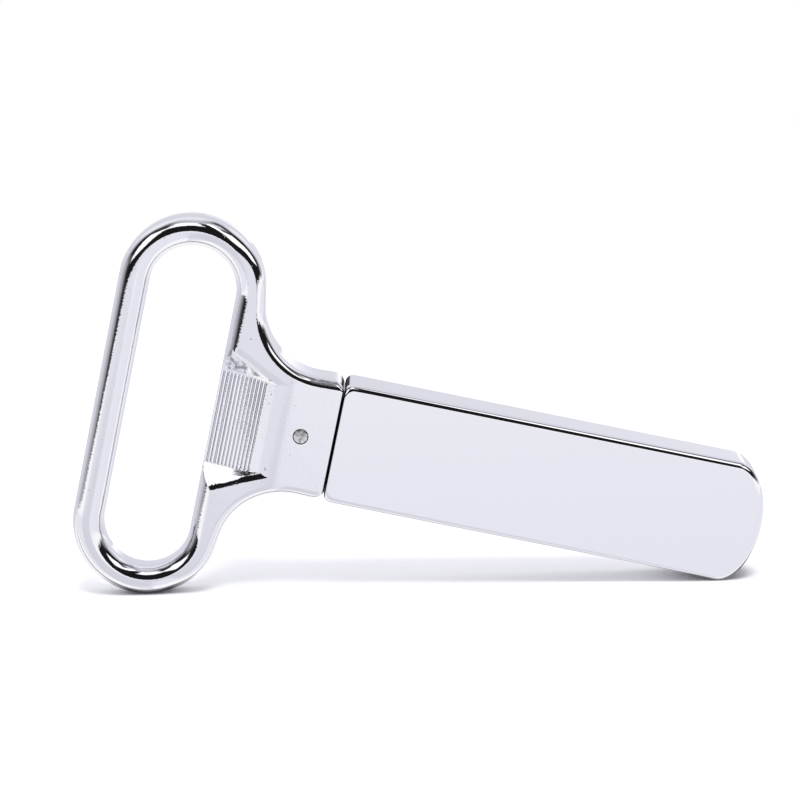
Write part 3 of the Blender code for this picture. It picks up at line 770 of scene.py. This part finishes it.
nearer = front + east.between(0.2, 0.6) * 0.13
ceiling = tones(nearer + away.between(0.45, 0.65) * 0.1, [
    (-1.0, 0.8), (-0.64, 0.8), (-0.44, 0.88), (-0.22, 0.98), (-0.1, 1.05), (0.0, 1.12),
    (0.22, 1.08), (0.31, 1.0), (0.36, 0.95), (0.46, 0.9), (0.51, 0.3), (0.55, 0.12),
    (0.62, 0.012), (1.0, 0.012)])
walls = tones(nearer, [
    (-1.0, 0.9), (-0.85, 0.86), (-0.6, 0.81), (-0.4, 0.78), (-0.22, 0.73), (-0.07, 0.6),
    (0.07, 0.5), (0.2, 0.45), (0.3, 0.33), (0.4, 0.16), (0.48, 0.07), (0.62, 0.03),
    (0.72, 0.012), (1.0, 0.012)])
side = away.between(0.7, 0.88)
seam_place = front + east.within(0.25, 0.55, 0.1) * 0.25 - east.within(-0.62, -0.3, 0.12) * 0.15
seam = (tones(seam_place, [(-1.0, 0.0), (-0.3, 0.0), (-0.13, 0.1), (0.05, 0.5), (0.12, 0.75),
                           (0.2, 1.0), (0.34, 1.0), (0.42, 0.75), (0.5, 0.5), (0.58, 0.0),
                           (1.0, 0.0)])
        * tones(away, [(0.0, 0.36), (0.1, 0.38), (0.28, 0.6), (0.36, 0.93), (0.7, 0.99),
                       (1.0, 0.99)])
        * lift.between(14, 24))
sky = (ceiling * (1 - side) + walls * side) * (1 - seam)

# Each soft box has its right and left bearing, its low and high lift and its level.
box_edge = 1.5
soft_boxes = ((25, 55, 13.5, 42, 1.27), (-9, 27, 37, 59, 1.27),
              (-55, -24, 21, 42, 1.27), (-36, -24, 42, 60, 1.8))
for right, left, low, high, level in soft_boxes:
    box = bearing.within(right, left, box_edge) * lift.within(low, high, box_edge)
    sky = sky * (1 - box) + box * level

ground = tones(swing, [(-180.0, 0.8), (-160.0, 0.84), (-140.0, 1.05), (-106.0, 1.1),
                       (-102.0, 0.45), (-90.0, 0.45), (-86.0, 1.12), (-62.0, 1.12),
                       (-55.0, 0.95), (-13.0, 0.96), (-10.0, 1.0), (-7.0, 1.1),
                       (0.0, 1.1)])
ground = ground * (1 - bearing.between(1.5, 5.5) * (1 - bearing.between(34.0, 44.0)) * 0.17)
right_hand = 1 - bearing.between(-50.0, -20.0)
ahead = bearing.within(0.0, 14.0, 4.0)
horizon = (bearing.between(0.0, 45.0) * 2.2 - 0.4 - bearing.between(-8.0, 0.0) * 2.2
           - ahead * 1.2 + right_hand * 6.8)
above = ((lift - horizon) / (1 + right_hand * 8 + ahead * 2.5)).between(-0.3, 0.3)
studio = ground * (1 - above) + sky * above

# The chrome mirrors the studio, the camera sees white, and all else takes a soft fill.
cool_colour, white_colour = (0.96, 0.96, 1.05, 1), (1.0, 1.0, 1.0, 1)
fill_colour, fill_level, fill_rise = (0.87, 0.865, 0.91, 1), 0.36, 1.2
tint = studio.between(0.95, 1.1).mix(cool_colour, white_colour)
glossy_ray = wire.node("ShaderNodeLightPath", output="Is Glossy Ray")
camera_ray = wire.node("ShaderNodeLightPath", output="Is Camera Ray")
others = camera_ray.mix(fill_colour, white_colour)
background = tree.nodes["Background"]
feed(background, "Color", glossy_ray.mix(others, tint))
fill = camera_ray + (fill_level + up.math("MAXIMUM", 0.0) * fill_rise) * (1 - camera_ray)
feed(background, "Strength", studio * glossy_ray + fill * (1 - glossy_ray))
world.cycles.sampling_method = "NONE"

lamp_place = Vector((0.1, -0.45, 0.88))
key = bpy.data.lights.new("key", "SUN")
key.energy = 1.25
key.angle = math.radians(18)
key_lamp = bpy.data.objects.new("key", key)
key_lamp.rotation_mode = "QUATERNION"
key_lamp.rotation_quaternion = lamp_place.to_track_quat("Z", "Y")
key_lamp.visible_glossy = False
bpy.context.scene.collection.objects.link(key_lamp)

view_up, view_turn, distance = 0.1772368, 0.03113109, 0.5817806
centre_u, centre_w = 0.04129186, -0.000543763
frame_pixels, pixels_a_millimetre = 800, 5.588556
aim = Vector(ring_centre) + Vector((centre_u, 0, centre_w))
camera_data = bpy.data.cameras.new("camera")
camera_data.sensor_width = 36.0
focal_pixels = pixels_a_millimetre * distance * 1000
camera_data.lens = focal_pixels * camera_data.sensor_width / frame_pixels
camera = bpy.data.objects.new("camera", camera_data)
camera.location = aim + Vector((0, -math.cos(view_up), math.sin(view_up))) * distance
camera.rotation_mode = "QUATERNION"
look = (aim - camera.location).to_track_quat("-Z", "Y")
camera.rotation_quaternion = look @ Quaternion((0, 0, 1), -view_turn)
bpy.context.scene.collection.objects.link(camera)
bpy.context.scene.camera = camera
bpy.context.scene.view_settings.view_transform = "Standard"

bpy.context.view_layer.update()
